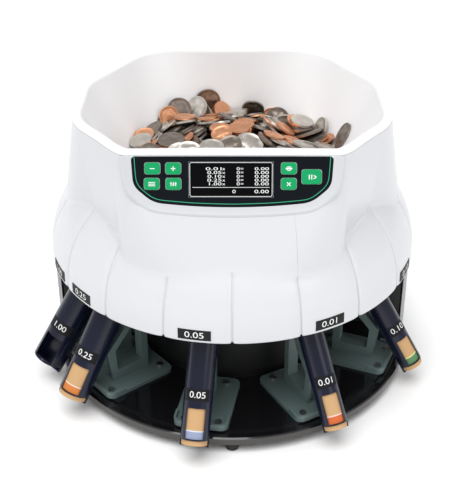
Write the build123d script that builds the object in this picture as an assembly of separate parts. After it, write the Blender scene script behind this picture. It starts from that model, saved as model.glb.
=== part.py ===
"""Coin sorting machine: hopper on top, sorting wheel inside, five coin tubes round the front.

Millimetres, +Z up. The origin is on the table under the axis of the sorting wheel, and the
control panel faces -Y. Azimuths are measured round Z from the front (-Y) towards +X.
"""
from build123d import *
from math import cos, radians, sin, sqrt, tan
import os

os.makedirs("parts", exist_ok=True)

# Base and feet
BASE_R = 166.0
BASE_BOTTOM = 9.0
BASE_RIM_TOP = 16.2
BASE_TOP = 18.0
BASE_SKIN = 4.5
FOOT_R = 5.8
FOOT_RING_R = 158.0
CENTRE_FOOT_R = 14.0

# Outer shells
WALL = 2.8
SKIRT_CENTRE_R = 80.0
SKIRT_CENTRE_Z = 120.0
SKIRT_ARC_R = 85.5
SKIRT_BOTTOM = 115.3
SEAM_STEP = 20
SEAM_WIDTH = 1.4
SEAM_DEPTH = 1.0
TOWER_FOOT_Z = 160.0
TOWER_TOP_Z = 262.0
RIM_Z = 266.0
RIM_CORNERS = [(88, -118.5), (133, -62), (132, 14), (81, 98.5)]
TOWER_FOOT_CORNERS = [(63, -118.5), (151, -25), (151, 35), (95, 118)]
CORNER_R = 38.0
REAR_R = 167.0
REAR_WALL = 3.0
REAR_TOP = 115.0
BAY_WALL_Y = 4.0

# Nose with the sloping control panel
FACE_FOOT_Y = -150.0
FACE_FOOT_Z = 165.0
FACE_LEAN = 17.58
NOSE_MID_Z = 212.0
NOSE_FRONT_R = 152.0
PANEL_THICK = 1.5
PANEL_RECESS = 1.2
PANEL_TOP = 101.4
PANEL_BOTTOM = 61.2
KEY_SIZE = (12.0, 9.2)
START_KEY_SIZE = (15.4, 11.4)
KEY_PROUD = 0.9
KEYS = {
    "minus": (-62.0, 92.0), "plus": (-45.8, 92.0), "batch": (-62.6, 79.8), "set": (-45.8, 79.8),
    "print": (43.9, 92.0), "clear": (43.9, 79.8), "start": (61.6, 85.4),
}
LCD_CENTRE = (-1.0, 83.2)
LCD_WINDOW = (66.0, 28.4)
LCD_GLASS_TOP = 0.1
BOARD_FRONT = -7.0

# Decks, drive and feed
CHASSIS_R = 152.0
CHASSIS_BOTTOM = 116.0
CHASSIS_TOP = 120.0
DECK_R = 128.0
DECK_BOTTOM = 140.0
DECK_TOP = 146.0
DECK_FENCE_TOP = 156.0
SHAFT_R = 4.0
BEARING_R = 11.0
RUNNING_FIT = 0.03
WHEEL_R = 116.0
WHEEL_BOTTOM = 149.0
WHEEL_TOP = 154.0
FLOOR_BOTTOM = 180.0
FLOOR_TOP = 184.0
DISC_R = 72.4
DISC_BOTTOM = 185.0
DISC_TOP = 190.0
BOWL_HOLE_R = 73.0
BOWL_FLOOR_Z = 193.0
MOTOR_Y = 55.0
MOTOR_R = 21.0
MOTOR_SHAFT_R = 3.0
DISC_PULLEY_R = 28.0
DRIVE_RATIO = 3.0
BELT_BOTTOM = 126.0
BELT_TOP = 132.0
BELT_THICK = 1.5
BELT_GAP = 0.3

# Power switch
ROCKER_X = 2.8
ROCKER_Y = 151.0
ROCKER_THROW = 14.0
ROCKER_PIN_R = 1.0

# Coins, tubes and brackets
COINS = {"10c": 17.9, "01c": 19.05, "05c": 21.2, "25c": 24.3, "1d": 26.5}
TUBE_AZIMUTH = {"10c": 67.5, "01c": 29.5, "05c": -10.2, "25c": -51.0, "1d": -68.5}
LABEL_AZIMUTH = {"10c": 66.5, "01c": 29.0, "05c": -10.7, "25c": -51.0, "1d": -66.5}
WRAPPED = ["10c", "01c", "05c", "25c"]
TUBE_TILT = 31.6
TUBE_BACK_R = 123.2
TUBE_BACK_Z = 92.0
TUBE_WALL = 1.2
COIN_PLAY = 0.95
TUBE_TOP_Z = 112.0
TUBE_LOW_Z = 13.5
TUBE_FLOOR = 1.6
TUBE_STEP = 6.0
WINDOW_LOW = 7.2
WINDOW_TOP = 33.0
WINDOW_TURN = -0.55
PAPER = 0.3
CHUTE_GAP = 1.5
CHUTE_FIT = 0.2
BRACKET_FOOT_TOP = 21.0
BRACKET_FOOT = (88.0, 158.0, 48.0)
BRACKET_WEB = [(103.5, 21), (103.5, 116), (107, 116), (128, 72), (145.5, 54), (144, 40), (142, 21)]
BRACKET_WINDOW = [(110, 31), (110, 92), (122, 69), (138, 52), (136.5, 31)]
LABEL_SIZE = (27.4, 118.0, 127.5)

UP = (Align.CENTER, Align.CENTER, Align.MIN)


def save(name, shape):
    export_step(shape, f"parts/{name}.step")


def group(solids):
    return Compound(children=[solid for shape in solids for solid in shape.solids()])


def rod(radius, bottom, top, x=0, y=0):
    return Pos(x, y, bottom) * Cylinder(radius, top - bottom, align=UP)


def block(x0, x1, y0, y1, z0, z1):
    centre = Pos((x0 + x1) / 2, (y0 + y1) / 2, (z0 + z1) / 2)
    return centre * Box(abs(x1 - x0), abs(y1 - y0), abs(z1 - z0))


def at(azimuth):
    """Turns a piece built with +X outwards to its azimuth from the front."""
    return Rot(0, 0, azimuth - 90)


def ring_points(count, radius, first=0.0):
    for k in range(count):
        azimuth = radians(first + 360 * k / count)
        yield radius * sin(azimuth), -radius * cos(azimuth)


def outline(corners, z, radius=CORNER_R, inset=0.0):
    """Rounded outline, mirrored about YZ, from its right-hand corners, front to back."""
    points = corners + [(-x, y) for x, y in reversed(corners)]
    face = make_face(Polyline(*points, close=True))
    face = fillet(face.vertices(), radius)
    if inset:
        face = offset(face, -inset)
    return Pos(0, 0, z) * face


def base_plate():
    plate = rod(BASE_R, BASE_BOTTOM, BASE_RIM_TOP)
    plate = chamfer(plate.edges().group_by(Axis.Z)[-1], 1.2)
    plate += rod(BASE_R - 9, BASE_RIM_TOP, BASE_TOP)
    plate -= rod(BASE_R - 4, BASE_BOTTOM, BASE_TOP - BASE_SKIN)
    for x, y in ring_points(4, FOOT_RING_R):
        plate += rod(8, BASE_BOTTOM, BASE_TOP - BASE_SKIN, x, y)
    plate &= rod(BASE_R, BASE_BOTTOM, BASE_TOP)
    for x, y in rear_boss_points():
        plate -= rod(3.4, BASE_BOTTOM, BASE_TOP - BASE_SKIN, x, y) + rod(1.8, BASE_BOTTOM, BASE_TOP, x, y)
    for name, azimuth in TUBE_AZIMUTH.items():
        for x, y in foot_screw_points(name):
            plate -= at(azimuth) * rod(1.6, BASE_BOTTOM, BASE_TOP, x, y)
    return plate


def rubber_feet():
    feet = []
    for x, y in ring_points(4, FOOT_RING_R):
        foot = rod(FOOT_R, 0, BASE_BOTTOM, x, y)
        feet.append(chamfer(foot.edges().group_by(Axis.Z)[0], 0.8))
    centre = rod(CENTRE_FOOT_R, 0, BASE_TOP - BASE_SKIN)
    feet.append(chamfer(centre.edges().group_by(Axis.Z)[0], 0.8))
    return group(feet)


def rear_boss_points():
    return [(160.5 * sin(radians(a)), -160.5 * cos(radians(a))) for a in (112, 158, 202, 248)]


def base_screws():
    head_top = BASE_TOP - BASE_SKIN
    return group([rod(3.2, head_top - 2, head_top, x, y) + rod(1.6, head_top, 26, x, y)
                  for x, y in rear_boss_points()])


# ------------------------------------------------------------------ brackets

def foot_screw_points(name):
    """The dollar bracket has one inner screw: its foot is cut away beside its neighbour."""
    inner = [(96, -12)] if name == "1d" else [(96, 12), (96, -12)]
    return inner + [(151, 15), (151, -15)]


def bracket_foot(grow=0.0, top=BRACKET_FOOT_TOP):
    inner, outer, width = BRACKET_FOOT
    half = width / 2 + grow
    foot = block(inner - grow, outer + grow, -half, half, BASE_TOP, top)
    return fillet(foot.edges().filter_by(Axis.Z), 7)


def bracket(name):
    inner, outer, width = BRACKET_FOOT
    foot = bracket_foot()
    lip = foot - fillet(block(inner + 2, outer - 2, 2 - width / 2, width / 2 - 2,
                              BASE_TOP, BRACKET_FOOT_TOP).edges().filter_by(Axis.Z), 5)
    lip = Pos(0, 0, 3) * (lip & block(outer - 16, outer, -width, width, 0, 50))
    web = make_face(Polyline(*BRACKET_WEB, close=True))
    window = make_face(Polyline(*BRACKET_WINDOW, close=True))
    groove = web - offset(web, -2.2, kind=Kind.INTERSECTION)
    upright = Rot(90, 0, 0)
    piece = foot + lip
    piece += upright * extrude(web - window, 5, both=True)
    piece -= (upright * extrude(groove, 2.8, both=True)) - block(0, 200, -9, 9, 0, BRACKET_FOOT_TOP + 1)
    for x, y in foot_screw_points(name):
        piece -= rod(1.6, BASE_TOP, BRACKET_FOOT_TOP, x, y)
    piece = at(TUBE_AZIMUTH[name]) * piece
    if name == "1d":
        piece -= at(TUBE_AZIMUTH["25c"]) * bracket_foot(0.5, BRACKET_FOOT_TOP + 4)
    return piece


def bracket_screws():
    screws = []
    for name, azimuth in TUBE_AZIMUTH.items():
        for x, y in foot_screw_points(name):
            screw = rod(3, BRACKET_FOOT_TOP, BRACKET_FOOT_TOP + 2, x, y)
            screw += rod(1.5, BASE_TOP - BASE_SKIN + 1, BRACKET_FOOT_TOP, x, y)
            screws.append(at(azimuth) * screw)
    return group(screws)


# ------------------------------------------------------------------ coin tubes

def tube_radius(name):
    return (COINS[name] + COIN_PLAY) / 2 + TUBE_WALL


def tube_length(name):
    drop = 2 * tube_radius(name) * sin(radians(TUBE_TILT))
    return (TUBE_TOP_Z - TUBE_LOW_Z - drop) / cos(radians(TUBE_TILT))


def on_tube(name):
    """Location of the tube's bottom centre: local Z runs up the tube, local X faces outwards."""
    tilt = radians(TUBE_TILT)
    low_z = TUBE_LOW_Z + tube_radius(name) * sin(tilt)
    low_r = TUBE_BACK_R + tube_radius(name) / cos(tilt) + (TUBE_BACK_Z - low_z) * tan(tilt)
    return at(TUBE_AZIMUTH[name]) * Pos(low_r, 0, low_z) * Rot(0, -TUBE_TILT, 0)


def coin_tube(name):
    radius = tube_radius(name)
    length = tube_length(name)
    tube = rod(radius, 0, length) - rod(radius - TUBE_WALL, TUBE_FLOOR, length + 1)
    tube -= block(0, radius + 1, -radius - 1, radius + 1, -1, TUBE_STEP)
    half = 0.62 * radius
    tube -= block(0, radius + 1, -half, half, WINDOW_LOW, WINDOW_TOP)
    turn = WINDOW_TURN * TUBE_AZIMUTH[name]
    return on_tube(name) * Rot(0, 0, turn) * tube


def wrapper(name):
    radius = tube_radius(name) - TUBE_WALL - 0.05
    paper = rod(radius, TUBE_FLOOR, 80) - rod(radius - PAPER, TUBE_FLOOR + 1, 81)
    return on_tube(name) * paper


def chute(name):
    radius = tube_radius(name)
    start = tube_length(name) + CHUTE_GAP
    pipe = rod(radius, start, start + 80) - rod(radius - TUBE_WALL, start - 1, start + 81)
    return (on_tube(name) * pipe) & rod(DECK_R + 20, 60, DECK_TOP)


def chute_hole(name):
    return on_tube(name) * rod(tube_radius(name) + CHUTE_FIT, 60, 220)


# ------------------------------------------------------------------ decks

def inner_wall():
    half_ring = rod(84.5, BASE_TOP, CHASSIS_BOTTOM) - rod(82, BASE_TOP, CHASSIS_BOTTOM)
    wall = half_ring & block(-90, 90, -90, BAY_WALL_Y + 2.5, 0, 200)
    reach = REAR_R - REAR_WALL - 2
    for side in (-1, 1):
        wing = block(83 * side, reach * side, BAY_WALL_Y, BAY_WALL_Y + 2.5, BASE_TOP, CHASSIS_BOTTOM)
        wall += wing & rod(reach, 0, 200)
    return wall


def chassis_plate():
    plate = rod(CHASSIS_R, CHASSIS_BOTTOM, CHASSIS_TOP)
    plate -= rod(BEARING_R, 100, 130)
    plate -= rod(12, 100, 130, 0, MOTOR_Y)
    for name in COINS:
        plate -= chute_hole(name)
    return plate


def pillar_points():
    return [(118 * sin(radians(a)), -118 * cos(radians(a))) for a in (9.4, 48.5, -31, 100, -100, 150, -150)]


def deck_pillars():
    return group([rod(4, CHASSIS_TOP, DECK_BOTTOM, x, y) for x, y in pillar_points()])


def sorting_deck():
    deck = rod(DECK_R, DECK_BOTTOM, DECK_FENCE_TOP)
    deck -= rod(WHEEL_R + 2, DECK_TOP, DECK_FENCE_TOP)
    deck -= rod(BEARING_R, DECK_BOTTOM, DECK_TOP)
    for name in COINS:
        deck -= chute_hole(name) & rod(DECK_R, 0, DECK_TOP)
    return deck


def coin_sensors():
    sensors = []
    for name in COINS:
        body = block(DECK_R, DECK_R + 6, -7, 7, DECK_TOP + 1, DECK_FENCE_TOP)
        cap = block(WHEEL_R + 2.5, DECK_R + 6, -5, 5, DECK_FENCE_TOP, DECK_FENCE_TOP + 3)
        body -= rod(DECK_R, 0, DECK_FENCE_TOP)
        sensors.append(at(TUBE_AZIMUTH[name]) * (body + cap))
    return group(sensors)


# ------------------------------------------------------------------ drive

def bearing(bottom, top):
    race = rod(BEARING_R, bottom, top) - rod(SHAFT_R + RUNNING_FIT, bottom, top)
    gap = rod(8.6, top - 0.8, top) - rod(6.4, top - 0.8, top)
    return race - gap


def disc_shaft():
    return rod(SHAFT_R, 112, DISC_TOP)


def pulley(radius, bore, x=0, y=0):
    wheel = rod(radius, BELT_BOTTOM - 0.5, BELT_TOP + 0.5, x, y)
    wheel += rod(radius + 2.2, BELT_BOTTOM - 1.7, BELT_BOTTOM - 0.5, x, y)
    wheel += rod(radius + 2.2, BELT_TOP + 0.5, BELT_TOP + 1.7, x, y)
    return wheel - rod(bore, 100, 150, x, y)


def belt_loop(grow):
    big = Circle(DISC_PULLEY_R + grow)
    small = Pos(0, MOTOR_Y) * Circle(DISC_PULLEY_R / DRIVE_RATIO + grow)
    return make_hull(big.edges() + small.edges())


def drive_belt():
    loop = belt_loop(BELT_GAP + BELT_THICK) - belt_loop(BELT_GAP)
    return Pos(0, 0, BELT_BOTTOM) * extrude(loop, BELT_TOP - BELT_BOTTOM)


def motor():
    can = rod(MOTOR_R, 62, CHASSIS_BOTTOM - 0.5, 0, MOTOR_Y)
    can = fillet(can.edges(), 2)
    can += rod(9, CHASSIS_BOTTOM - 3, CHASSIS_BOTTOM + 2, 0, MOTOR_Y)
    can += block(-26, 26, MOTOR_Y - 26, MOTOR_Y + 26, CHASSIS_BOTTOM - 2, CHASSIS_BOTTOM)
    return can - rod(MOTOR_SHAFT_R + RUNNING_FIT, 90, 130, 0, MOTOR_Y)


def motor_shaft():
    return rod(MOTOR_SHAFT_R, 91, BELT_TOP + 2, 0, MOTOR_Y)


def sorting_wheel():
    wheel = rod(WHEEL_R, WHEEL_BOTTOM, WHEEL_TOP) + rod(14, WHEEL_BOTTOM - 2, WHEEL_TOP + 8)
    for x, y in ring_points(12, WHEEL_R - 8):
        wheel -= rod(14.2, 140, 170, x, y)
    return wheel - rod(SHAFT_R, 140, 170)


def hopper_floor():
    floor = rod(79, FLOOR_BOTTOM, FLOOR_TOP)
    spout_line = Pos(-58, 0, FLOOR_TOP) * Rot(0, 58, 0)
    pipe = spout_line * rod(17, -20, 52)
    bore = spout_line * rod(15, -30, 70)
    floor += Rot(0, 0, -60) * (pipe & rod(130, WHEEL_TOP + 4, FLOOR_TOP))
    floor -= Rot(0, 0, -60) * bore
    return floor - rod(SHAFT_R + 2, 170, 190)


def feed_disc():
    disc = rod(DISC_R, DISC_BOTTOM, DISC_TOP)
    for x, y in ring_points(7, 54):
        disc -= rod(13.8, 180, 200, x, y)
    return disc - rod(SHAFT_R, 180, 200)


def disc_cone():
    cone = Pos(0, 0, DISC_TOP) * Cone(34, 10, 9, align=UP)
    return fillet(cone.edges().group_by(Axis.Z)[-1], 3)


# ------------------------------------------------------------------ hopper and covers

def hopper_bowl():
    flange = extrude(outline(RIM_CORNERS, TOWER_TOP_Z), RIM_Z - TOWER_TOP_Z)
    floor_corners = [(34, -84), (84, -34), (84, 34), (34, 84)]
    round_r = 70
    outside = loft([outline(floor_corners, BOWL_FLOOR_Z - 3, round_r, -2.5),
                    outline(RIM_CORNERS, TOWER_TOP_Z + 1, inset=6.5)], ruled=True)
    inside = loft([outline(floor_corners, BOWL_FLOOR_Z, round_r),
                   outline(RIM_CORNERS, RIM_Z + 1, inset=8.5)], ruled=True)
    bowl = flange + outside + rod(BOWL_HOLE_R + 3, FLOOR_TOP, BOWL_FLOOR_Z - 2)
    bowl -= inside
    bowl -= rod(BOWL_HOLE_R, FLOOR_TOP - 1, BOWL_FLOOR_Z + 1)
    return fillet(bowl.edges().group_by(Axis.Z)[-1], 1.6)


def skirt(grow):
    """Solid of revolution under the skirt's curve, grown outwards by grow."""
    radius = SKIRT_ARC_R + grow
    bottom = SKIRT_BOTTOM if grow >= 0 else SKIRT_BOTTOM - 5
    drop = bottom - SKIRT_CENTRE_Z
    edge_r = SKIRT_CENTRE_R + sqrt(radius ** 2 - drop ** 2)
    crown = (SKIRT_CENTRE_R, SKIRT_CENTRE_Z + radius)
    diagonal = radius * sin(radians(45))
    middle = (SKIRT_CENTRE_R + diagonal, SKIRT_CENTRE_Z + diagonal)
    curve = ThreePointArc((edge_r, bottom), middle, crown)
    sides = Polyline(crown, (0, crown[1]), (0, bottom), (edge_r, bottom))
    return revolve(Rot(90, 0, 0) * make_face([curve, sides]), Axis.Z)


def face_y(z):
    return FACE_FOOT_Y + (z - FACE_FOOT_Z) * tan(radians(FACE_LEAN))


def nose_section(z, half_width, radius, inset):
    box = make_face(Polyline((-half_width, face_y(z)), (half_width, face_y(z)),
                             (half_width, -60), (-half_width, -60), close=True))
    face = fillet(box.vertices().group_by(Axis.Y)[0], radius)
    return Pos(0, 0, z) * (offset(face, -inset) if inset else face)


def nose(inset=0.0):
    """Front housing that carries the control panel."""
    foot = Circle(NOSE_FRONT_R) & (Pos(0, -110) * Rectangle(180, 100))
    foot = fillet(foot.vertices().group_by(Axis.Y)[0], 14)
    foot = Pos(0, 0, TOWER_FOOT_Z) * (offset(foot, -inset) if inset else foot)
    middle = nose_section(NOSE_MID_Z, 89, 24, inset)
    top = nose_section(TOWER_TOP_Z, 84, 22, inset)
    return loft([foot, middle], ruled=True) + loft([middle, top], ruled=True)


def tower(inset=0.0):
    foot = outline(TOWER_FOOT_CORNERS, TOWER_FOOT_Z, inset=inset)
    top = outline(RIM_CORNERS, TOWER_TOP_Z, inset=inset)
    return loft([foot, top], ruled=True)


def panel_plane(height=0.0):
    lean = radians(FACE_LEAN)
    normal = Vector(0, -cos(lean), sin(lean))
    foot = Vector(0, FACE_FOOT_Y, FACE_FOOT_Z) + normal * height
    return Plane(origin=foot, x_dir=(1, 0, 0), z_dir=normal)


def panel_outline(grow=0.0):
    """Straight top edge, leaning sides and a shallow curved bottom edge."""
    bottom = ThreePointArc((-62, 65), (0, PANEL_BOTTOM), (62, 65))
    sides = Polyline((62, 65), (77.2, 78), (78.6, PANEL_TOP), (-78.6, PANEL_TOP), (-77.2, 78), (-62, 65))
    face = make_face([bottom, sides])
    rows = face.vertices().group_by(Axis.Y)
    face = fillet(rows[0], 24)
    face = fillet(face.vertices().filter_by_position(Axis.Y, 77.9, 78.1), 14)
    face = fillet(face.vertices().group_by(Axis.Y)[-1], 3)
    return offset(face, grow) if grow else face


def on_panel(face, low, high):
    return extrude(panel_plane(low) * face, high - low)


def top_cover():
    shell = skirt(0)
    seam = (skirt(1) - skirt(-SEAM_DEPTH)) & block(60, 180, -SEAM_WIDTH / 2, SEAM_WIDTH / 2, 100, 210)
    notch = block(150, 180, -1.2, 1.2, 100, SKIRT_BOTTOM + 1.6)
    for azimuth in range(0, 360, SEAM_STEP):
        shell -= at(azimuth) * seam
        shell -= at(azimuth) * notch
    shell += tower() + nose()
    shell -= skirt(-WALL) + tower(WALL) + nose(WALL)
    shell -= on_panel(panel_outline(0.2), -PANEL_RECESS, 5)
    shell -= on_panel(panel_outline(-3), -8, 0)
    return shell


def rear_cover():
    wall = rod(REAR_R, BASE_RIM_TOP, REAR_TOP) - rod(REAR_R - REAR_WALL, 0, 200)
    behind = block(-200, 200, BAY_WALL_Y, 200, 0, 200)
    wall &= behind
    pocket = block(-58, 58, 151.5, 180, 27, 83) & rod(REAR_R, 0, 200)
    wall += pocket
    wall -= block(-55.5, 55.5, 154, 180, 29.5, 80.5)
    for x, y in rear_boss_points():
        wall += rod(4.5, BASE_RIM_TOP + 1.8, 40, x, y) & rod(REAR_R - 1, 0, 200)
        wall -= rod(1.65, 0, 30, x, y)
    for side in (-1, 1):
        for k in range(9):
            azimuth = side * (122 + 3.2 * k)
            wall -= at(azimuth) * block(150, 180, -1.5, 1.5, 60, 96)
    wall -= block(-48, -20, 140, 160, 42, 64)
    wall -= block(-8, 13.6, 140, 160, 45.5, 60.5)
    wall -= block(24, 46, 140, 160, 47, 59)
    return wall


def value_labels():
    width, low, high = LABEL_SIZE
    skin = skirt(0.35) - skirt(0)
    return group([(at(a) * block(140, 180, -width / 2, width / 2, low, high)) & skin
                  for a in LABEL_AZIMUTH.values()])


# ------------------------------------------------------------------ control panel

def key_face(name, grow=0.0):
    width, height = START_KEY_SIZE if name == "start" else KEY_SIZE
    return Pos(*KEYS[name]) * RectangleRounded(width + 2 * grow, height + 2 * grow, 2.4)


def control_panel():
    plate = on_panel(panel_outline(), -PANEL_RECESS, PANEL_THICK - PANEL_RECESS)
    for name in KEYS:
        plate -= on_panel(key_face(name, 0.35), -5, 5)
    return plate - on_panel(Pos(*LCD_CENTRE) * Rectangle(*LCD_WINDOW), -5, 5)


def key(name):
    top = PANEL_THICK - PANEL_RECESS + KEY_PROUD
    cap = on_panel(key_face(name), -5, top)
    cap = fillet(cap.faces().sort_by(Axis((0, 0, 0), panel_plane().z_dir))[-1].edges(), 0.5)
    return cap + on_panel(key_face(name, 0.8), -2.5, -1.5)


def lcd_module():
    width, height = LCD_WINDOW
    glass = on_panel(Pos(*LCD_CENTRE) * Rectangle(width - 0.4, height - 0.4), -2, LCD_GLASS_TOP)
    return glass + on_panel(Pos(*LCD_CENTRE) * Rectangle(76, 30), BOARD_FRONT, -2)


def keypad_board():
    return on_panel(Pos(0, 82) * Rectangle(146, 35), BOARD_FRONT - 1.6, BOARD_FRONT)


# ------------------------------------------------------------------ electronics at the back

def main_board():
    board = block(30, 130, 30, 100, 26, 27.6)
    board += block(60, 75, 50, 65, 27.6, 30)
    board += block(90, 120, 86, 96, 27.6, 38)
    board += block(36, 46, 60, 90, 27.6, 38)
    for x, y in ((34, 34), (126, 34), (34, 96), (114, 96)):
        board += rod(3, BASE_TOP, 26, x, y)
    return board


def power_supply():
    supply = block(-130, -40, 30, 100, 26, 27.6)
    supply += block(-120, -85, 40, 75, 27.6, 60)
    supply += rod(8, 27.6, 52, -68, 50) + rod(8, 27.6, 52, -68, 72)
    supply += block(-60, -50, 84, 96, 27.6, 38)
    for x, y in ((-126, 34), (-44, 34), (-114, 96), (-44, 96)):
        supply += rod(3, BASE_TOP, 26, x, y)
    return supply


def power_inlet():
    body = block(-48, -20, 130, 154, 42, 64) + block(-51, -17, 154, 156.5, 40, 66)
    body -= block(-46, -22, 138, 160, 45, 61)
    for x, z in ((-34, 57), (-41, 51), (-27, 51)):
        body += block(x - 1, x + 1, 137, 152, z - 3, z + 3)
    return body


def switch_frame():
    frame = block(-8, 13.6, 136, 154, 45.5, 60.5) + block(-10, 15.6, 154, 155.8, 43.5, 62.5)
    frame -= block(-5.4, 11, 139, 160, 47.3, 58.7)
    return frame + rod(ROCKER_PIN_R - RUNNING_FIT, 46.5, 59.5, ROCKER_X, ROCKER_Y)


def switch_rocker():
    """Two-faced rocker, tipped to its off side at rest."""
    profile = make_face(Polyline((-7, -3), (7, -3), (7, 4.2), (0, 5.6), (-7, 4.2), close=True))
    body = extrude(profile, 10.2) - rod(ROCKER_PIN_R, -1, 12)
    return Pos(ROCKER_X, ROCKER_Y, 47.9) * Rot(0, 0, -ROCKER_THROW / 2) * body


def data_port():
    port = block(24, 46, 140, 154, 47, 59) + block(21, 49, 154, 155.5, 45, 61)
    return port - block(27, 43, 150, 156, 49.5, 56.5)


def main():
    single = [base_plate, rubber_feet, base_screws, bracket_screws, inner_wall, chassis_plate,
              deck_pillars, sorting_deck, coin_sensors, disc_shaft, drive_belt, motor,
              motor_shaft, sorting_wheel, hopper_floor, feed_disc, disc_cone, hopper_bowl,
              top_cover, rear_cover, value_labels, control_panel, lcd_module, keypad_board,
              main_board, power_supply, power_inlet, switch_frame, switch_rocker, data_port]
    for make in single:
        save(make.__name__, make())
    save("upper_bearing", bearing(DECK_BOTTOM, DECK_TOP))
    save("lower_bearing", bearing(CHASSIS_BOTTOM - 2, CHASSIS_TOP))
    save("disc_pulley", pulley(DISC_PULLEY_R, SHAFT_R))
    save("motor_pulley", pulley(DISC_PULLEY_R / DRIVE_RATIO, MOTOR_SHAFT_R, 0, MOTOR_Y))
    for name in KEYS:
        save(f"key_{name}", key(name))
    for name in COINS:
        save(f"tube_{name}", coin_tube(name))
        save(f"chute_{name}", chute(name))
        save(f"bracket_{name}", bracket(name))
    for name in WRAPPED:
        save(f"wrapper_{name}", wrapper(name))


main()
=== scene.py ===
import math
import random

import bmesh
import bpy
import numpy as np
from mathutils import Euler, Matrix, Vector


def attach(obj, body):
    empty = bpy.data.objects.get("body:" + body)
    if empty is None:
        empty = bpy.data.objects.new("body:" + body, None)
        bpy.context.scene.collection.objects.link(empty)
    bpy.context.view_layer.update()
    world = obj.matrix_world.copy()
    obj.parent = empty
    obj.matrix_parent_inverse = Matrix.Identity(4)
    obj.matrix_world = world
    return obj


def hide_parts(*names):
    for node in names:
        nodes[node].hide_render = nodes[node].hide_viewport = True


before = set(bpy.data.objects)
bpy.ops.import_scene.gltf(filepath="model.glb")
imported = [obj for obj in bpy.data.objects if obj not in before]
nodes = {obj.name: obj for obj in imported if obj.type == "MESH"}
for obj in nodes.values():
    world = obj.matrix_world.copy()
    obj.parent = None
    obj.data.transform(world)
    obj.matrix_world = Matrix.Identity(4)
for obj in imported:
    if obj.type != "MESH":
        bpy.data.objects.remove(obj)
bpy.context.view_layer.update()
MM = 0.001


# Paints. The machine is moulded plastic, so most finishes are one colour with a very fine
# moulding texture. Wire lets a pattern be written as a sum of sockets.

class Wire:
    """One shader socket. Sums and comparisons on it add Math nodes."""

    def __init__(self, paint, socket):
        self.paint = paint
        self.socket = socket

    def math(self, operation, first, second):
        return self.paint.node("ShaderNodeMath", {"operation": operation}, {0: first, 1: second})

    def __add__(self, other):
        return self.math("ADD", self, other)

    def __sub__(self, other):
        return self.math("SUBTRACT", self, other)

    def __rsub__(self, other):
        return self.math("SUBTRACT", other, self)

    def __mul__(self, other):
        return self.math("MULTIPLY", self, other)

    __radd__ = __add__
    __rmul__ = __mul__

    def __gt__(self, other):
        return self.math("GREATER_THAN", self, other)

    def __lt__(self, other):
        return self.math("LESS_THAN", self, other)

    def __abs__(self):
        return self.math("ABSOLUTE", self, 0.0)


class Paint:
    """One finish. set() fills an input of its surface shader and node() adds any other node."""

    def __init__(self, name, colour, roughness, **inputs):
        self.material = bpy.data.materials.new(name)
        self.material.use_nodes = True
        self.tree = self.material.node_tree
        self.shader = self.tree.nodes["Principled BSDF"]
        self.set("Base Color", (*colour, 1.0))
        self.set("Roughness", roughness)
        for key, value in inputs.items():
            self.set(key.replace("_", " "), value)

    def set(self, key, value):
        self.join(self.shader.inputs[key], value)

    def join(self, socket, value):
        if isinstance(value, Wire):
            self.tree.links.new(value.socket, socket)
        else:
            socket.default_value = value

    def node(self, kind, settings, inputs, output=0):
        made = self.tree.nodes.new(kind)
        for key, value in settings.items():
            setattr(made, key, value)
        for key, value in inputs.items():
            self.join(made.inputs[key], value)
        return Wire(self, made.outputs[output])

    def place(self):
        return self.node("ShaderNodeTexCoord", {}, {}, "Object")

    def along(self, direction):
        """Distance in metres along a direction from the origin."""
        return self.node("ShaderNodeVectorMath", {"operation": "DOT_PRODUCT"},
                         {0: self.place(), 1: direction}, "Value")

    def mixed(self, mask, first, second):
        return self.node("ShaderNodeMix", {"data_type": "RGBA"},
                         {"Factor": mask, 6: (*first, 1.0) if isinstance(first, tuple) else first,
                          7: (*second, 1.0) if isinstance(second, tuple) else second}, 2)

    def grain(self, scale, height):
        """A fine moulded grain on the surface."""
        noise = self.node("ShaderNodeTexNoise", {}, {"Vector": self.place(), "Scale": scale, "Detail": 2.0})
        bump = {"Strength": 0.25, "Distance": height, "Height": noise}
        self.set("Normal", self.node("ShaderNodeBump", {}, bump))
        return self


def dress(paint, *names):
    """Give CAD nodes a paint."""
    for name in names:
        nodes[name].data.materials.clear()
        nodes[name].data.materials.append(paint.material)


def finished(name, bm, paint, body="machine", crease=40):
    """Turn a bmesh into a piece of the machine."""
    mesh = bpy.data.meshes.new(name)
    bm.to_mesh(mesh)
    bm.free()
    mesh.polygons.foreach_set("use_smooth", [True] * len(mesh.polygons))
    mesh.set_sharp_from_angle(angle=math.radians(crease))
    mesh.materials.append(paint.material)
    piece = bpy.data.objects.new(name, mesh)
    bpy.context.scene.collection.objects.link(piece)
    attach(piece, body)
    return piece


# Top cover: one white ABS moulding, 2.8 mm thick. A round skirt with 18 seams, a tower that
# carries the hopper and a nose that carries the panel run into each other with soft blends.

SEAMS = 18
COVER_TOP = 262.0
COVER_WALL = 2.8
TOWER_LOW = [(63, -118.5), (151, -25), (151, 35), (95, 118)]
TOWER_HIGH = [(88, -118.5), (133, -62), (132, 14), (81, 98.5)]
TOWER_RADIUS = 54.0
white = Paint("white_shell", (0.66, 0.67, 0.695), 0.34, Coat_Weight=0.25, Coat_Roughness=0.12).grain(900,
        0.00004)


def soft_max(first, second, width):
    """The larger of two distances, rounded over where they are within width of each other."""
    near = np.maximum(width - np.abs(first - second), 0) / np.maximum(width, 1e-6)
    return np.maximum(first, second) + near ** 2 * width / 4


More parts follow.
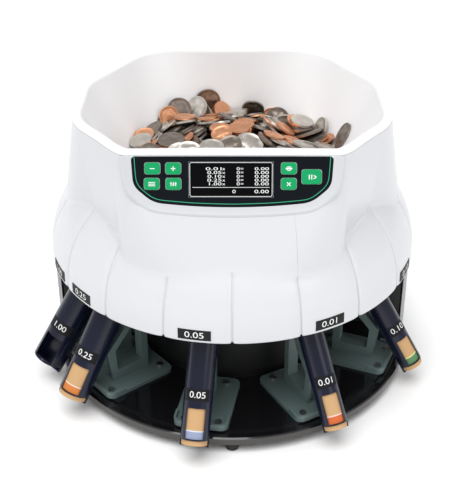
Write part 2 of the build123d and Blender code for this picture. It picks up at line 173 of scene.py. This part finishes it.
def rounded_shape(x, y, corners, radius):
    """Distance outside a rounded outline. corners are the right half, from front to rear."""
    loop = list(corners) + [(-a, b) for a, b in reversed(corners)]
    far = None
    for (ax, ay), (bx, by), (cx, cy) in zip(loop[-1:] + loop[:-1], loop, loop[1:] + loop[:1]):
        long = np.hypot(cx - bx, cy - by)
        side = ((x - bx) * (cy - by) - (y - by) * (cx - bx)) / long
        back = np.hypot(bx - ax, by - ay)
        bend = np.arccos(np.clip(((bx - ax) * (cx - bx) + (by - ay) * (cy - by)) / (long * back), -1, 1))
        width = 4 * radius * (1 - np.cos(bend / 2))
        far = side if far is None else soft_max(far, side, width)
    return far


def tower_shape(x, y, z):
    t = np.clip((z - 160) / 102, -0.3, 1.05)
    corners = [(a + (c - a) * t, b + (d - b) * t) for (a, b), (c, d) in zip(TOWER_LOW, TOWER_HIGH)]
    return rounded_shape(x, y, corners, TOWER_RADIUS)


def panel_height(x, y, z):
    """Distance in front of the sloping face that carries the panel."""
    return -0.9533 * (y + 150) + 0.3020 * (z - 165)


def nose_shape(x, y, z):
    half = np.interp(z, [160, 212, 262], [91, 89, 84])
    corner = np.interp(z, [160, 212, 262], [22, 26, 24]) * 1.17
    front = soft_max(panel_height(x, y, z), np.abs(x) - half, corner)
    return np.maximum(soft_max(front, np.hypot(x, y) - 152.3, 8.0), y + 30)


def cover_distance(x, y, z):
    r = np.hypot(x, y)
    arch = np.hypot(np.maximum(r - 80, 0), z - 120) - 85.5
    skirt = np.where(z < 120, r - 165.5, arch)
    body = -soft_max(-tower_shape(x, y, z), -nose_shape(x, y, z), 26.0)
    body = soft_max(body, panel_height(x, y, z), 0.5)
    return -soft_max(-skirt, -body, 3.0), skirt - body


def cover_radius(azimuth, z):
    """Radius of the cover's outside at an azimuth, and how far the skirt lies under the tower."""
    low = np.full_like(azimuth, 60.0)
    high = np.full_like(azimuth, 185.0)
    for _ in range(26):
        middle = (low + high) / 2
        out = cover_distance(middle * np.sin(azimuth), -middle * np.cos(azimuth), z)[0] > 0
        high = np.where(out, middle, high)
        low = np.where(out, low, middle)
    return low, cover_distance(low * np.sin(azimuth), -low * np.cos(azimuth), z)[1]


def ring_grid(columns, rows, place):
    """A bmesh grid closed into a ring. place gives points for a turn and a rise, each 0 to 1."""
    bm = bmesh.new()
    bmesh.ops.create_grid(bm, x_segments=columns, y_segments=rows, size=0.5)
    turn = np.array([v.co.x + 0.5 for v in bm.verts])
    rise = np.array([v.co.y + 0.5 for v in bm.verts])
    for vertex, point in zip(bm.verts, place(turn, rise)):
        vertex.co = Vector(point) * MM
    bmesh.ops.remove_doubles(bm, verts=bm.verts, dist=1e-7)
    bmesh.ops.recalc_face_normals(bm, faces=bm.faces)
    return bm


COVER_ROWS = ([(z, COVER_WALL) for z in (261.9, 240, 215, 190, 180, 170, 155, 140, 128, 118)]
              + [(115.9, 2.6), (115.3, 2.0), (115.3, 0.9), (115.7, 0.3), (116.6, 0.0)]
              + [(z, 0.0) for z in np.linspace(118, 261.2, 108)]
              + [(261.8, 0.2), (262, 0.8), (262, COVER_WALL)])
PANEL_COLUMNS = 32


def cover_points(turn, rise):
    local = (turn * SEAMS) % 1.0
    azimuth = np.floor(turn * SEAMS + 1e-6) + np.interp(local, [0, 0.125, 0.875, 1], [0, 0.021, 0.979, 1])
    azimuth = np.where(turn > 1 - 1e-6, 0, azimuth * 2 * np.pi / SEAMS)
    row = np.clip(np.rint(rise * (len(COVER_ROWS) - 1)).astype(int), 0, len(COVER_ROWS) - 1)
    z = np.array([r[0] for r in COVER_ROWS])[row]
    inset = np.array([r[1] for r in COVER_ROWS])[row]
    radius, under = cover_radius(azimuth, z)
    aside = np.abs((azimuth * SEAMS / 2 / np.pi + 0.5) % 1.0 - 0.5) * 57.6
    on_skirt = np.clip((-under + 0.5) / 2.0, 0, 1) * (z < 212)
    groove = np.clip(1.25 - aside / 0.85, 0, 1)
    pillow = 1.1 * (aside / 28.8 - 1) ** 8
    radius = radius - (inset < 1) * on_skirt * (groove + pillow) - inset
    z = np.where((z < 116.9) & (aside < 1.0), z + 1.4, z)
    return np.stack([radius * np.sin(azimuth), -radius * np.cos(azimuth), z], 1)


cover = finished("cover_shell", ring_grid(SEAMS * PANEL_COLUMNS, len(COVER_ROWS) - 1, cover_points),
        white)
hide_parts("top_cover")
dress(white, "rear_cover")


# Hopper bowl: a white moulded liner. Its rolled rim rests on the cover and its soft facets
# slope down to the opening over the feed disc.

BOWL_FLOOR = [(34, -84), (84, -34), (84, 34), (34, 84)]
BOWL_ROWS = ([(0.3, 262.05, 0), (0, 262.6, 0), (0, 264.2, 0), (0.5, 265.4, 0), (1.5, 266.0, 0), (3.4,
        266, 0), (6.2, 265.9, 0),
              (7.4, 265.3, 0), (8.3, 264.2, 0)]
             + [(8.5, 263.6 - 70.4 * t, t) for t in np.linspace(0.012, 1, 44)]
             + [(0, 193, 2), (0, 190.2, 2)])
bowl_white = Paint("bowl_white", (0.88, 0.88, 0.89), 0.42, Coat_Weight=0.12,
        Coat_Roughness=0.2).grain(900, 0.00003)


def bowl_points(turn, rise):
    azimuth = np.where(turn > 1 - 1e-6, 0, turn) * 2 * np.pi
    row = np.clip(np.rint(rise * (len(BOWL_ROWS) - 1)).astype(int), 0, len(BOWL_ROWS) - 1)
    inset, z, t = (np.array([r[i] for r in BOWL_ROWS])[row] for i in range(3))
    rim = cover_radius(azimuth, np.full_like(azimuth, COVER_TOP))[0] - inset * 1.02
    low = np.full_like(azimuth, 60.0)
    high = np.full_like(azimuth, 120.0)
    for _ in range(24):
        middle = (low + high) / 2
        out = rounded_shape(middle * np.sin(azimuth), -middle * np.cos(azimuth), BOWL_FLOOR, 60) > 0
        high = np.where(out, middle, high)
        low = np.where(out, low, middle)
    slope = np.clip(t, 0, 1)
    radius = np.where(t > 1.5, 73.2, rim * (1 - slope) + low * slope)
    return np.stack([radius * np.sin(azimuth), -radius * np.cos(azimuth), z], 1)


bowl = finished("bowl_liner", ring_grid(360, len(BOWL_ROWS) - 1, bowl_points), bowl_white)
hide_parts("hopper_bowl")


# Panel surround: a soft raised lip moulded round the sides and the foot of the panel.

def on_panel(x, v, w):
    return Vector((x, -150 + 0.3020 * v - 0.9533 * w, 165 + 0.9533 * v + 0.3020 * w)) * MM


def panel_edge(grow):
    """Points round the panel from its top left corner, down and round to the top right."""
    corners = [(-78.6, 104), (-78.2, 96), (-77.2, 78), (-62, 65), (-31, 62.2), (0, 61.2), (31, 62.2),
               (62, 65), (77.2, 78), (78.2, 96), (78.6, 104)]
    line = np.array(corners, float)
    lengths = np.concatenate([[0], np.cumsum(np.hypot(*np.diff(line, axis=0).T))])
    steps = np.linspace(0, lengths[-1], 260)
    line = np.stack([np.interp(steps, lengths, line[:, i]) for i in (0, 1)], 1)
    for _ in range(70):
        line[1:-1] = (line[:-2] + 2 * line[1:-1] + line[2:]) / 4
    ahead = np.gradient(line, axis=0)
    ahead /= np.hypot(*ahead.T)[:, None]
    return line + grow * np.stack([ahead[:, 1], -ahead[:, 0]], 1)


def edge_strip(name, profile, paint):
    """A strip that follows the panel's edge. profile lists how far out and how high each line is."""
    bm = bmesh.new()
    bmesh.ops.create_grid(bm, x_segments=259, y_segments=len(profile) - 1, size=0.5)
    lines = [panel_edge(out) for out, high in profile]
    for vertex in bm.verts:
        step = round((vertex.co.x + 0.5) * 259)
        row = round((vertex.co.y + 0.5) * (len(profile) - 1))
        vertex.co = on_panel(*lines[row][step], profile[row][1])
    for vertex in [v for v in bm.verts if v.co.z > 0.2619]:
        vertex.co.z = 0.2619
    bmesh.ops.recalc_face_normals(bm, faces=bm.faces)
    return finished(name, bm, paint)


# The surround is the cover's white plastic, painted darker than the cover as painted shade round the sunk
# panel.
surround_painted_shade = Paint("surround_painted_shade", (0.58, 0.59, 0.615), 0.4)
edge_strip("panel_surround", [(-0.6, -0.4), (0.1, 0.2), (0.7, 0.34), (5.0, 0.2), (5.7, 0.62), (6.6,
        0.82), (7.4, 0.66), (8.6, 0.05),
                              (9.2, -0.5)][::-1], surround_painted_shade)


# Control panel: a black polycarbonate film with a fine green line inside its edge, and a
# display behind a clear window. The display shows numerals only.

panel_black = Paint("panel_black", (0.004, 0.006, 0.009), 0.3, Specular_IOR_Level=0.12)
lcd_black = Paint("lcd_black", (0.002, 0.002, 0.003), 0.2, Specular_IOR_Level=0.08)
line_green = Paint("line_green", (0.03, 0.36, 0.19), 0.5)
print_white = Paint("print_white", (0.86, 0.87, 0.86), 0.55)
glow = Paint("display_glow", (0.55, 0.56, 0.55), 0.5, Emission_Color=(0.82, 0.86, 0.86, 1.0),
        Emission_Strength=0.45)
dress(panel_black, "control_panel")
dress(lcd_black, "lcd_module")
edge_strip("panel_line", [(-2.7, 0.34), (-2.15, 0.34)][::-1], line_green)

LCD_X = -1.0
LCD_V = 83.2


def flat_text(text, height):
    """A bmesh of figures, centred on the origin."""
    curve = bpy.data.curves.new("figures", "FONT")
    curve.body = text
    curve.align_x = "CENTER"
    curve.align_y = "CENTER"
    curve.size = height / 0.7
    curve.resolution_u = 4
    holder = bpy.data.objects.new("figures", curve)
    bpy.context.scene.collection.objects.link(holder)
    bpy.context.view_layer.update()
    mesh = bpy.data.meshes.new_from_object(holder)
    bm = bmesh.new()
    bm.from_mesh(mesh)
    bpy.data.objects.remove(holder)
    bpy.data.curves.remove(curve)
    bpy.data.meshes.remove(mesh)
    return bm


def add_box(bm, x, v, wide, high, turn=0):
    """A flat bar in x and v, added to a flat bmesh."""
    made = bmesh.ops.create_grid(bm, x_segments=1, y_segments=1, size=0.5)["verts"]
    bmesh.ops.scale(bm, verts=made, vec=(wide, high, 1))
    bmesh.ops.rotate(bm, verts=made, matrix=Matrix.Rotation(math.radians(turn), 3, "Z"))
    bmesh.ops.translate(bm, verts=made, vec=(x, v, 0))


def print_flat(name, bm, height, paint, body="machine"):
    """Lay a flat bmesh in x and v on the panel."""
    for vertex in bm.verts:
        vertex.co = on_panel(vertex.co.x, vertex.co.y, height)
    bmesh.ops.recalc_face_normals(bm, faces=bm.faces)
    if sum((f.normal.y * f.calc_area() for f in bm.faces), 0.0) > 0:
        bmesh.ops.reverse_faces(bm, faces=bm.faces)
    return finished(name, bm, paint, body)


def join_text(bm, text, height, right, v, wide):
    """Add figures to a flat bmesh, drawn to a width and ending at right."""
    figures = flat_text(text, height)
    mesh = bpy.data.meshes.new("figures")
    half = max(vertex.co.x for vertex in figures.verts)
    for vertex in figures.verts:
        vertex.co.x = (vertex.co.x / half - 1) * wide / 2 + right
        vertex.co.y += v
    figures.to_mesh(mesh)
    figures.free()
    bm.from_mesh(mesh)
    bpy.data.meshes.remove(mesh)


readout = bmesh.new()
left = LCD_X - 32.0
top = LCD_V + 13.4
for row, value in enumerate(["0.01", "0.05", "0.10", "0.25", "1.00"]):
    v = top - 5.0 - row * 2.98
    join_text(readout, value, 2.35, left + 24.6, v, 10.8)
    join_text(readout, "x", 2.35, left + 27.4, v, 2.1)
    join_text(readout, "0", 2.35, left + 38.8, v, 2.4)
    join_text(readout, "=", 2.35, left + 41.6, v, 2.2)
    join_text(readout, "0.00", 2.35, left + 61.4, v, 11.0)
join_text(readout, "0", 2.7, left + 35.6, top - 23.0, 2.6)
join_text(readout, "0.00", 2.7, left + 61.4, top - 23.0, 11.2)
add_box(readout, LCD_X, top - 19.6, 60, 0.32)
for side in (-1, 1):
    add_box(readout, LCD_X + side * 32.0, LCD_V, 0.38, 24.6)
    add_box(readout, LCD_X, LCD_V + side * 13.4, 61.8, 0.38)
    for end in (-1, 1):
        add_box(readout, LCD_X + side * 31.5, LCD_V + end * 12.9, 1.5, 0.38, 45 * -side * end)
print_flat("display_figures", readout, 0.16, glow)


# Keys: seven soft green rubber caps. Each carries a plain white mark, which moves with its key.

key_green = Paint("key_green", (0.004, 0.33, 0.11), 0.5, Specular_IOR_Level=0.2)
KEY_TOP = 1.2
KEYS = {"minus": (-62, 92), "plus": (-45.8, 92), "batch": (-62.6, 79.8), "set": (-45.8, 79.8),
        "print": (43.9, 92), "clear": (43.9, 79.8), "start": (61.6, 85.4)}
MARKS = {
    "minus": [(0, 0, 3.6, 0.7, 0)],
    "plus": [(0, 0, 3.6, 0.7, 0), (0, 0, 0.7, 3.6, 0)],
    "batch": [(0, 1.3, 5.2, 0.6, 0), (0, 0, 5.2, 0.6, 0), (0, -1.3, 5.2, 0.6, 0)],
    "set": [(-1.8, 0, 0.6, 3.2, 0), (0, 0, 0.6, 3.2, 0), (1.8, 0, 0.6, 3.2, 0), (-1.8, 0.7, 1.5, 0.9, 0),
            (0, -0.7, 1.5, 0.9, 0), (1.8, 0.4, 1.5, 0.9, 0)],
    "print": [(0, 1.4, 3.0, 0.6, 0), (0, 0.1, 5.0, 1.3, 0), (0, -1.4, 3.0, 0.6, 0), (-1.2, -1.0, 0.6,
            1.3, 0), (1.2, -1.0, 0.6, 1.3, 0)],
    "clear": [(0, 0, 4.0, 0.7, 45), (0, 0, 4.0, 0.7, -45)],
    "start": [(-1.9, 0, 0.8, 3.8, 0), (0, 0, 0.8, 3.8, 0), (2.6, 0.7, 2.6, 0.7, -32),
              (2.6, -0.7, 2.6, 0.7, 32)],
}
dress(key_green, *["key_" + key for key in KEYS])
for key, (x, v) in KEYS.items():
    mark = bmesh.new()
    for dx, dv, wide, high, turn in MARKS[key]:
        add_box(mark, x + dx, v + dv, wide, high, turn)
    print_flat("mark_" + key, mark, KEY_TOP + 0.03, print_white, "key_" + key)


# Value labels: black film stickers on the skirt over each tube, with white figures.

label_black = Paint("label_black", (0.008, 0.008, 0.009), 0.55, Specular_IOR_Level=0.25)
dress(label_black, "value_labels")
LABELS = {"0.10": 66.5, "0.01": 29.0, "0.05": -10.7, "0.25": -51.0, "1.00": -66.5}
LABEL_Z = 122.6
for value, azimuth in LABELS.items():
    figures = flat_text(value, 5.6)
    bmesh.ops.subdivide_edges(figures, edges=[e for e in figures.edges if e.calc_length() > 2], cuts=2)
    for vertex in figures.verts:
        z = LABEL_Z + vertex.co.y
        radius = 80 + math.sqrt(85.5 ** 2 - (z - 120) ** 2) + 0.42
        turn = math.radians(azimuth) + vertex.co.x * 1.22 / radius
        vertex.co = Vector((radius * math.sin(turn), -radius * math.cos(turn), z)) * MM
    finished("label_figures_" + value.replace(".", ""), figures, print_white)


# Coin tubes: dark navy polycarbonate pipes, each with a printed value on a matt patch. All
# but the largest hold a paper wrapper whose coloured foot shows in the window.

tube_navy = Paint("tube_navy", (0.006, 0.008, 0.024), 0.24, Specular_IOR_Level=0.4)
chute_black = Paint("chute_black", (0.014, 0.015, 0.02), 0.4)
patch_black = Paint("patch_black", (0.005, 0.005, 0.008), 0.6, Specular_IOR_Level=0.25)
TILT = math.radians(31.6)
TUBES = {"10c": (10.62, 67.5, "0.10"), "01c": (11.2, 29.5, "0.01"), "05c": (12.27, -10.2, "0.05"),
         "25c": (13.82, -51.0, "0.25"), "1d": (14.92, -68.5, "1.00")}
BANDS = {"10c": ((0.10, 0.24, 0.10), (0.80, 0.72, 0.30)), "01c": (0.62, 0.13, 0.03),
         "05c": (0.28, 0.33, 0.48), "25c": (0.62, 0.20, 0.04)}
dress(chute_black, *["chute_" + name for name in TUBES])
dress(tube_navy, *["tube_" + name for name in TUBES])


def tube_frame(radius, azimuth, turn):
    """Matrix of a tube's foot: Z up the tube and X to the side that faces out, in millimetres."""
    low_z = 13.5 + radius * math.sin(TILT)
    low_r = 123.2 + radius / math.cos(TILT) + (92 - low_z) * math.tan(TILT)
    return (Matrix.Rotation(math.radians(azimuth - 90), 4, "Z") @ Matrix.Translation((low_r, 0, low_z))
            @ Matrix.Rotation(-TILT, 4, "Y") @ Matrix.Rotation(math.radians(turn), 4, "Z"))


for name, (radius, azimuth, value) in TUBES.items():
    facing = tube_frame(radius, azimuth, -0.55 * azimuth)
    patch = bmesh.new()
    bmesh.ops.create_grid(patch, x_segments=16, y_segments=1, size=0.5)
    for vertex in patch.verts:
        turn = vertex.co.x * 1.75
        skin = radius + 0.06
        vertex.co = facing @ Vector((skin * math.cos(turn), skin * math.sin(turn),
                44.2 + vertex.co.y * 10.5)) * MM
    bmesh.ops.recalc_face_normals(patch, faces=patch.faces)
    finished("patch_" + name, patch, patch_black, "tube_" + name)
    figures = flat_text(value, 5.4)
    bmesh.ops.subdivide_edges(figures, edges=[e for e in figures.edges if e.calc_length() > 1.2], cuts=2)
    for vertex in figures.verts:
        turn = vertex.co.x * 1.1 / radius
        skin = radius + 0.14
        vertex.co = facing @ Vector((skin * math.cos(turn), skin * math.sin(turn), 44.2 + vertex.co.y)) * MM
    finished("tube_figures_" + name, figures, print_white, "tube_" + name)
    if name not in BANDS:
        continue
    paper = Paint("paper_" + name, (0.55, 0.33, 0.15), 0.7)
    foot = facing.to_translation()
    axis = (facing.to_3x3() @ Vector((0, 0, 1))).normalized()
    height = paper.along(tuple(axis)) - axis.dot(foot) * MM
    band = BANDS[name][0] if isinstance(BANDS[name][0], tuple) else BANDS[name]
    stripe = BANDS[name][1] if isinstance(BANDS[name][0], tuple) else tuple(0.5 + 0.5 * c for c in band)
    inside = (abs(height - 10.2 * MM) < 4.3 * MM) * 1.0
    edge = (abs(height - 10.2 * MM) < 3.2 * MM) * 1.0
    colour = paper.mixed(inside, (0.56, 0.34, 0.16), stripe)
    paper.set("Base Color", paper.mixed(edge, colour, band))
    dress(paper, "wrapper_" + name)


# Base, brackets and inside: a polished black base with a satin edge, grey-green moulded tube
# brackets, a black inner wall, and the steel and grey parts of the drive.

base_black = Paint("base_black", (0.006, 0.006, 0.007), 0.1, Coat_Weight=0.5, Coat_Roughness=0.05)
height = base_black.along((0, 0, 1))
side = (height < 15.2 * MM) * 1.0
base_black.set("Base Color", base_black.mixed(side, (0.006, 0.006, 0.007), (0.035, 0.032, 0.029)))
base_black.set("Roughness", side * 0.28 + 0.1)
dress(base_black, "base_plate")
dress(Paint("foot_rubber", (0.014, 0.014, 0.014), 0.75), "rubber_feet")
inner_black = Paint("inner_black", (0.008, 0.008, 0.009), 0.45).grain(600, 0.00005)
dress(inner_black, "inner_wall", "chassis_plate", "sorting_deck", "hopper_floor", "switch_frame",
        "switch_rocker",
      "power_inlet", "data_port", "coin_sensors")
bracket_green = Paint("bracket_green", (0.12, 0.17, 0.165), 0.38, Coat_Weight=0.2, Coat_Roughness=0.25)
bracket_green.grain(700, 0.00004)
dress(bracket_green, *["bracket_" + name for name in TUBES])
steel = Paint("steel", (0.56, 0.56, 0.57), 0.28, Metallic=1.0)
dress(steel, "base_screws", "bracket_screws", "deck_pillars", "disc_shaft", "motor_shaft",
        "upper_bearing", "lower_bearing")
dress(Paint("motor_zinc", (0.46, 0.47, 0.48), 0.4, Metallic=1.0), "motor")
dress(Paint("belt_rubber", (0.015, 0.015, 0.015), 0.7), "drive_belt")
dress(Paint("board_green", (0.02, 0.14, 0.06), 0.45), "keypad_board", "main_board", "power_supply")
dress(Paint("disc_grey", (0.20, 0.21, 0.22), 0.42), "feed_disc", "disc_cone", "sorting_wheel",
        "disc_pulley", "motor_pulley")


# Coins: a heap of mixed coins in the hopper, copper, silver and tarnished. Each has a raised
# rim and a plain star on its face. They are dropped in and left to settle.

SIM = 50.0
COINS = 300
KINDS = [("copper", 9.6, 1.5, 0.36), ("silver", 10.6, 1.9, 0.20), ("silver", 12.1, 1.7, 0.24),
         ("dark", 12.1, 1.75, 0.17), ("dark", 10.6, 1.9, 0.09)]
METALS = {"copper": ((0.90, 0.47, 0.27), (0.55, 0.24, 0.13)), "silver": ((0.72, 0.68, 0.62), (0.38, 0.35,
        0.31)),
          "dark": ((0.34, 0.29, 0.25), (0.15, 0.12, 0.10))}
random.seed(7)


def coin_blank(radius, thick, sides, scale):
    """A plain coin disc, lying flat on the origin."""
    bm = bmesh.new()
    bmesh.ops.create_cone(bm, cap_ends=True, segments=sides, radius1=radius * scale,
            radius2=radius * scale, depth=thick * scale)
    return bm


def drop_coins(kinds):
    """Let the coins fall into the bowl and give the place and turn of each, in millimetres."""
    scene = bpy.context.scene
    bpy.ops.rigidbody.world_add()
    world = scene.rigidbody_world
    world.collection = bpy.data.collections.new("falling")
    world.substeps_per_frame = 14
    world.solver_iterations = 12
    world.point_cache.frame_end = 120
    scene.gravity = (0, 0, -90)
    made = []

    def solid(bm, kind, shape):
        mesh = bpy.data.meshes.new("falling")
        bm.to_mesh(mesh)
        bm.free()
        thing = bpy.data.objects.new("falling", mesh)
        scene.collection.objects.link(thing)
        world.collection.objects.link(thing)
        thing.rigid_body.type = kind
        thing.rigid_body.collision_shape = shape
        thing.rigid_body.use_margin = True
        thing.rigid_body.collision_margin = 0.004
        thing.rigid_body.friction = 0.95
        thing.rigid_body.restitution = 0.0
        made.append(thing)
        return thing

    floor = bmesh.new()
    bmesh.ops.create_cone(floor, cap_ends=True, segments=48, radius1=100 * MM * SIM,
            radius2=100 * MM * SIM, depth=40 * MM * SIM)
    bmesh.ops.translate(floor, verts=floor.verts, vec=(0, 0, (191 - 20) * MM * SIM))
    solid(floor, "PASSIVE", "CONVEX_HULL")
    cone = bmesh.new()
    bmesh.ops.create_cone(cone, cap_ends=True, segments=32, radius1=58 * MM * SIM, radius2=16 * MM * SIM,
            depth=32 * MM * SIM)
    bmesh.ops.translate(cone, verts=cone.verts, vec=(0, 6 * MM * SIM, 206 * MM * SIM))
    solid(cone, "PASSIVE", "CONVEX_HULL")
    walls = bmesh.new()
    walls.from_mesh(bowl.data)
    bmesh.ops.scale(walls, verts=walls.verts, vec=(SIM, SIM, SIM))
    solid(walls, "PASSIVE", "MESH")
    coins = []
    for index, (metal, radius, thick, share) in enumerate(kinds):
        layer, spot = divmod(index, 14)
        turn = spot * 2.399 + layer
        out = 34 * math.sqrt((spot + 0.5) / 14)
        coin = solid(coin_blank(radius, thick, 12, MM * SIM), "ACTIVE", "CONVEX_HULL")
        coin.location = Vector((out * math.cos(turn), out * math.sin(turn) + 2, 232 + layer * 13)) * MM * SIM
        coin.rotation_euler = (random.uniform(-0.7, 0.7), random.uniform(-0.7, 0.7), random.uniform(0, 6))
        coin.rigid_body.mass = 1.0
        coin.rigid_body.linear_damping = 0.08
        coin.rigid_body.angular_damping = 0.25
        coins.append(coin)
    for step in range(1, 96):
        scene.frame_set(step)
    graph = bpy.context.evaluated_depsgraph_get()
    places = []
    for coin in coins:
        place, turn, _ = coin.evaluated_get(graph).matrix_world.decompose()
        places.append(Matrix.Translation(place / SIM) @ turn.to_matrix().to_4x4())
    bpy.ops.rigidbody.world_remove()
    for thing in made:
        bpy.data.objects.remove(thing)
    scene.gravity = (0, 0, -9.81)
    scene.frame_set(1)
    return places


weights = [kind[3] for kind in KINDS]
kinds = [random.choices(KINDS, weights)[0] for _ in range(COINS)]
places = drop_coins(kinds)
for metal, (bright, dull) in METALS.items():
    paint = Paint("coin_" + metal, bright, 0.34, Metallic=0.85)
    wear = paint.node("ShaderNodeTexNoise", {}, {"Vector": paint.place(), "Scale": 160.0, "Detail": 3.0})
    paint.set("Base Color", paint.mixed(wear, bright, dull))
    paint.set("Roughness", wear * 0.3 + 0.22)
    heap = bmesh.new()
    for kind, place in zip(kinds, places):
        if kind[0] != metal:
            continue
        z = place.to_translation().z
        if z < 0.18 or z > 0.262:
            continue
        coin = coin_blank(kind[1], kind[2], 40, MM)
        caps = [f for f in coin.faces if len(f.verts) > 4]
        bmesh.ops.inset_region(coin, faces=caps, thickness=0.9 * MM, depth=0)
        for cap in caps:
            bmesh.ops.inset_region(coin, faces=[cap], thickness=0.25 * MM, depth=-0.16 * MM)
        for cap in caps:
            made = bmesh.ops.inset_region(coin, faces=[cap], thickness=2.4 * MM, depth=0)
            for corner, vertex in enumerate(cap.verts):
                middle = cap.calc_center_median()
                reach = 0.55 + 0.45 * math.cos(corner * 2 * math.pi * 5 / 40)
                vertex.co = middle + (vertex.co - middle) * (0.6 + 0.4 * reach)
            bmesh.ops.inset_region(coin, faces=[cap], thickness=0.5 * MM, depth=0.22 * MM)
        bmesh.ops.transform(coin, verts=coin.verts, matrix=place)
        mesh = bpy.data.meshes.new("coin")
        coin.to_mesh(mesh)
        coin.free()
        heap.from_mesh(mesh)
        bpy.data.meshes.remove(mesh)
    finished("coins_" + metal, heap, paint, crease=35)


# Studio: a plain white floor, soft light all round and a large soft light from above and in
# front, with the camera looking down on the machine.

floor_mesh = bmesh.new()
bmesh.ops.create_grid(floor_mesh, x_segments=1, y_segments=1, size=12)
floor_data = bpy.data.meshes.new("floor")
floor_mesh.to_mesh(floor_data)
floor_mesh.free()
floor = bpy.data.objects.new("floor", floor_data)
floor_data.materials.append(Paint("floor_white", (0.97, 0.97, 0.97), 0.8, Specular_IOR_Level=0.1).material)
bpy.context.scene.collection.objects.link(floor)

world = bpy.data.worlds.new("studio")
world.use_nodes = True
world.node_tree.nodes["Background"].inputs["Color"].default_value = (1.0, 1.0, 1.0, 1.0)
world.node_tree.nodes["Background"].inputs["Strength"].default_value = 0.52
bpy.context.scene.world = world


def lamp(name, place, target, size, power):
    light = bpy.data.lights.new(name, "AREA")
    light.shape = "DISK"
    light.size = size
    light.energy = power
    made = bpy.data.objects.new(name, light)
    made.location = place
    made.rotation_euler = (Vector(target) - Vector(place)).to_track_quat("-Z", "Y").to_euler()
    bpy.context.scene.collection.objects.link(made)


overhead = bpy.data.lights.new("overhead", "SUN")
overhead.energy = 2.5
overhead.angle = math.radians(55)
overhead_lamp = bpy.data.objects.new("overhead", overhead)
overhead_lamp.rotation_euler = (math.radians(18), math.radians(-8), 0)
bpy.context.scene.collection.objects.link(overhead_lamp)
lamp("fill_light", (1.2, -1.3, 0.9), (0, 0, 0.15), 0.9, 3)

camera = bpy.data.objects.new("camera", bpy.data.cameras.new("camera"))
camera.location = (0, -0.8956, 0.6589)
camera.rotation_euler = (math.radians(58.52), 0, 0)
camera.data.lens = 83.5
camera.data.sensor_width = 36
camera.data.shift_x = -0.0161
camera.data.clip_start = 0.01
camera.data.clip_end = 100
bpy.context.scene.collection.objects.link(camera)
bpy.context.scene.camera = camera
bpy.context.scene.view_settings.view_transform = "Standard"
